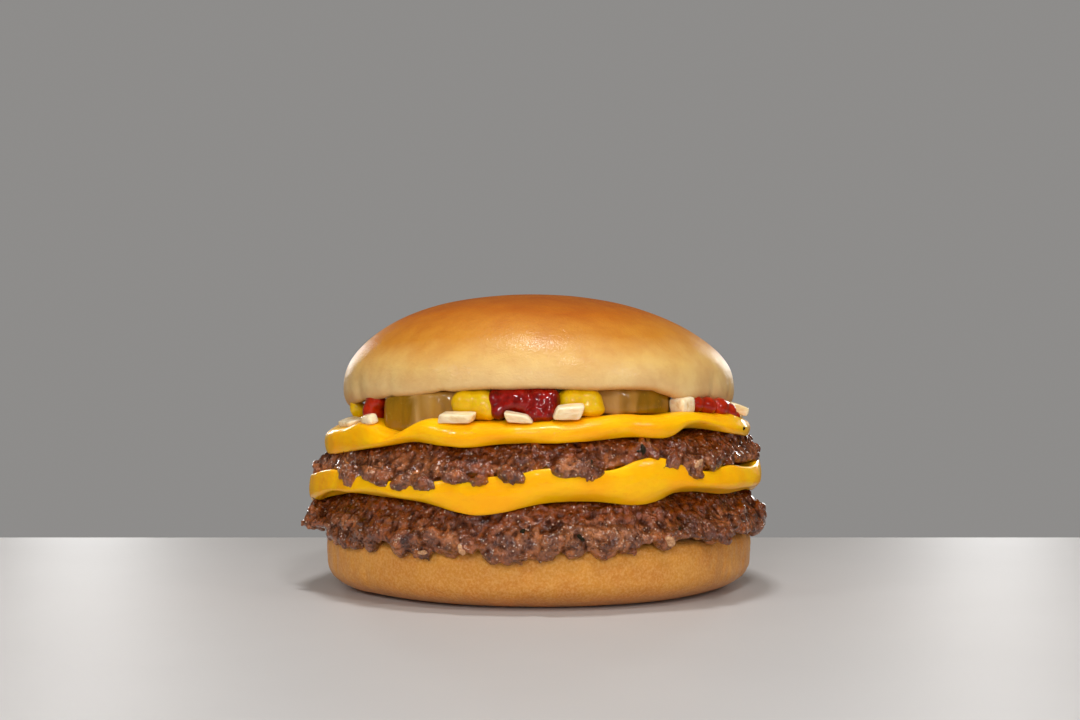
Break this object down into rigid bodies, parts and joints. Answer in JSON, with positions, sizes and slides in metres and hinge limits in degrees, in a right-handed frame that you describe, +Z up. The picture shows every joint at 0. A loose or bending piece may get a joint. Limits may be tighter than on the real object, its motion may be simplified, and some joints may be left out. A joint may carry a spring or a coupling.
{
  "type": "double cheeseburger",
  "caption": "Round double cheeseburger: glossy plain bun, craggy ground beef patties, melted cheese layers, pickle chips, ketchup, mustard and diced onion.",
  "frame": {"origin": "centre of the flat underside of the bottom bun, on the surface it stands on", "axes": "+Z up through the stack; the pictured front faces -Y, with +X to the right"},
  "size_m": [0.1087, 0.1066, 0.069],
  "materials": {
    "bun": "satin baked crust",
    "beef": "seared, glistening",
    "cheese": "glossy melted",
    "pickle": "wet",
    "mustard": "glossy",
    "ketchup": "glossy",
    "onion": "wet, translucent"
  },
  "bodies": {
    "root": {"bun_bottom": "bun", "patty_lower": "beef", "cheese_lower": "cheese", "patty_upper": "beef", "cheese_upper": "cheese", "bun_top": "bun", "ketchup_pool": "ketchup", "pickle_1": "pickle", "pickle_2": "pickle", "pickle_3": "pickle", "pickle_4": "pickle", "mustard_1": "mustard", "mustard_2": "mustard", "mustard_3": "mustard", "mustard_4": "mustard", "mustard_5": "mustard", "ketchup_bead_1": "ketchup", "ketchup_bead_2": "ketchup", "ketchup_bead_3": "ketchup", "ketchup_bead_4": "ketchup", "onion_01": "onion", "onion_02": "onion", "onion_03": "onion", "onion_04": "onion", "onion_05": "onion", "onion_06": "onion", "onion_07": "onion", "onion_08": "onion", "onion_09": "onion", "onion_10": "onion", "onion_11": "onion", "onion_12": "onion", "onion_13": "onion", "onion_14": "onion", "onion_15": "onion", "onion_16": "onion"}
  },
  "joints": []
}
